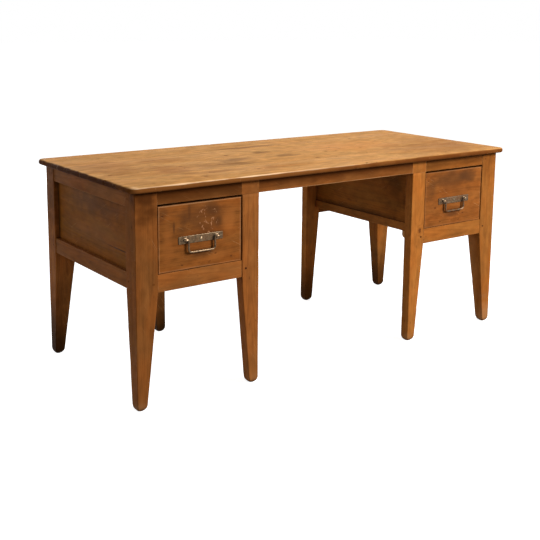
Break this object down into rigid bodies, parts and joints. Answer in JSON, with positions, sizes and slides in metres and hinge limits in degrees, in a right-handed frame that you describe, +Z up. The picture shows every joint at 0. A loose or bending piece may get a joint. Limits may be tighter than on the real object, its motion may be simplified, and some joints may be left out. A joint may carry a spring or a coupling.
{
  "type": "desk",
  "caption": "Pine desk with tapered legs and an open kneehole between panelled pedestals, each with a deep dovetailed drawer that slides out by a hinged bail handle.",
  "frame": {"origin": "on the floor, under the middle of the top", "axes": "+X along the desk to its right-hand end, +Y from the drawer fronts to the back, +Z up"},
  "size_m": [1.786, 0.77, 0.77],
  "materials": {
    "pine_top": "honey-coloured, worn wax",
    "pine_frame": "brown stain, dull wax",
    "pine_drawer": "brown stain, dull wax",
    "pine_inside": "bare planed wood",
    "oak_pegs": "end grain, brown",
    "iron": "dark, rubbed bright"
  },
  "bodies": {
    "desk": {"top_front_board": "pine_top", "top_second_board": "pine_top", "top_third_board": "pine_top", "top_back_board": "pine_top", "left_front_leg": "pine_frame", "left_back_leg": "pine_frame", "left_kneehole_front_leg": "pine_frame", "left_kneehole_back_leg": "pine_frame", "left_bearer": "pine_frame", "left_front_top_rail": "pine_frame", "left_back_top_rail": "pine_frame", "left_front_bottom_rail": "pine_frame", "left_back_bottom_rail": "pine_frame", "left_side_top_rail": "pine_frame", "left_side_bottom_rail": "pine_frame", "left_kneehole_rail": "pine_frame", "left_side_panel": "pine_frame", "left_kneehole_panel": "pine_frame", "left_back_panel": "pine_frame", "left_outer_runner": "pine_inside", "left_inner_runner": "pine_inside", "left_kicker": "pine_inside", "right_front_leg": "pine_frame", "right_back_leg": "pine_frame", "right_kneehole_front_leg": "pine_frame", "right_kneehole_back_leg": "pine_frame", "right_bearer": "pine_frame", "right_front_top_rail": "pine_frame", "right_back_top_rail": "pine_frame", "right_front_bottom_rail": "pine_frame", "right_back_bottom_rail": "pine_frame", "right_side_top_rail": "pine_frame", "right_side_bottom_rail": "pine_frame", "right_kneehole_rail": "pine_frame", "right_side_panel": "pine_frame", "right_kneehole_panel": "pine_frame", "right_back_panel": "pine_frame", "right_outer_runner": "pine_inside", "right_inner_runner": "pine_inside", "right_kicker": "pine_inside", "kneehole_front_top_rail": "pine_frame", "kneehole_back_top_rail": "pine_frame", "joint_pegs": "oak_pegs", "glue_blocks": "pine_inside"},
    "left_drawer": {"left_drawer_front": "pine_drawer", "left_drawer_outer_side": "pine_inside", "left_drawer_inner_side": "pine_inside", "left_drawer_back": "pine_inside", "left_drawer_bottom": "pine_inside", "left_handle_plate": "iron", "left_handle_screws": "iron"},
    "left_bail": {"left_bail": "iron"},
    "right_drawer": {"right_drawer_front": "pine_drawer", "right_drawer_outer_side": "pine_inside", "right_drawer_inner_side": "pine_inside", "right_drawer_back": "pine_inside", "right_drawer_bottom": "pine_inside", "right_handle_plate": "iron", "right_handle_screws": "iron"},
    "right_bail": {"right_bail": "iron"}
  },
  "joints": [
    {"name": "left_drawer_slide", "type": "slide", "parent": "desk", "child": "left_drawer", "axis": [0, -1, 0], "range_m": [0, 0.42]},
    {"name": "left_bail_hinge", "type": "hinge", "parent": "left_drawer", "child": "left_bail", "pos_m": [-0.6155, -0.364, 0.57015], "axis": [-1, 0, 0], "range_deg": [0, 175]},
    {"name": "right_drawer_slide", "type": "slide", "parent": "desk", "child": "right_drawer", "axis": [0, -1, 0], "range_m": [0, 0.42]},
    {"name": "right_bail_hinge", "type": "hinge", "parent": "right_drawer", "child": "right_bail", "pos_m": [0.6155, -0.364, 0.57015], "axis": [-1, 0, 0], "range_deg": [0, 175]}
  ]
}
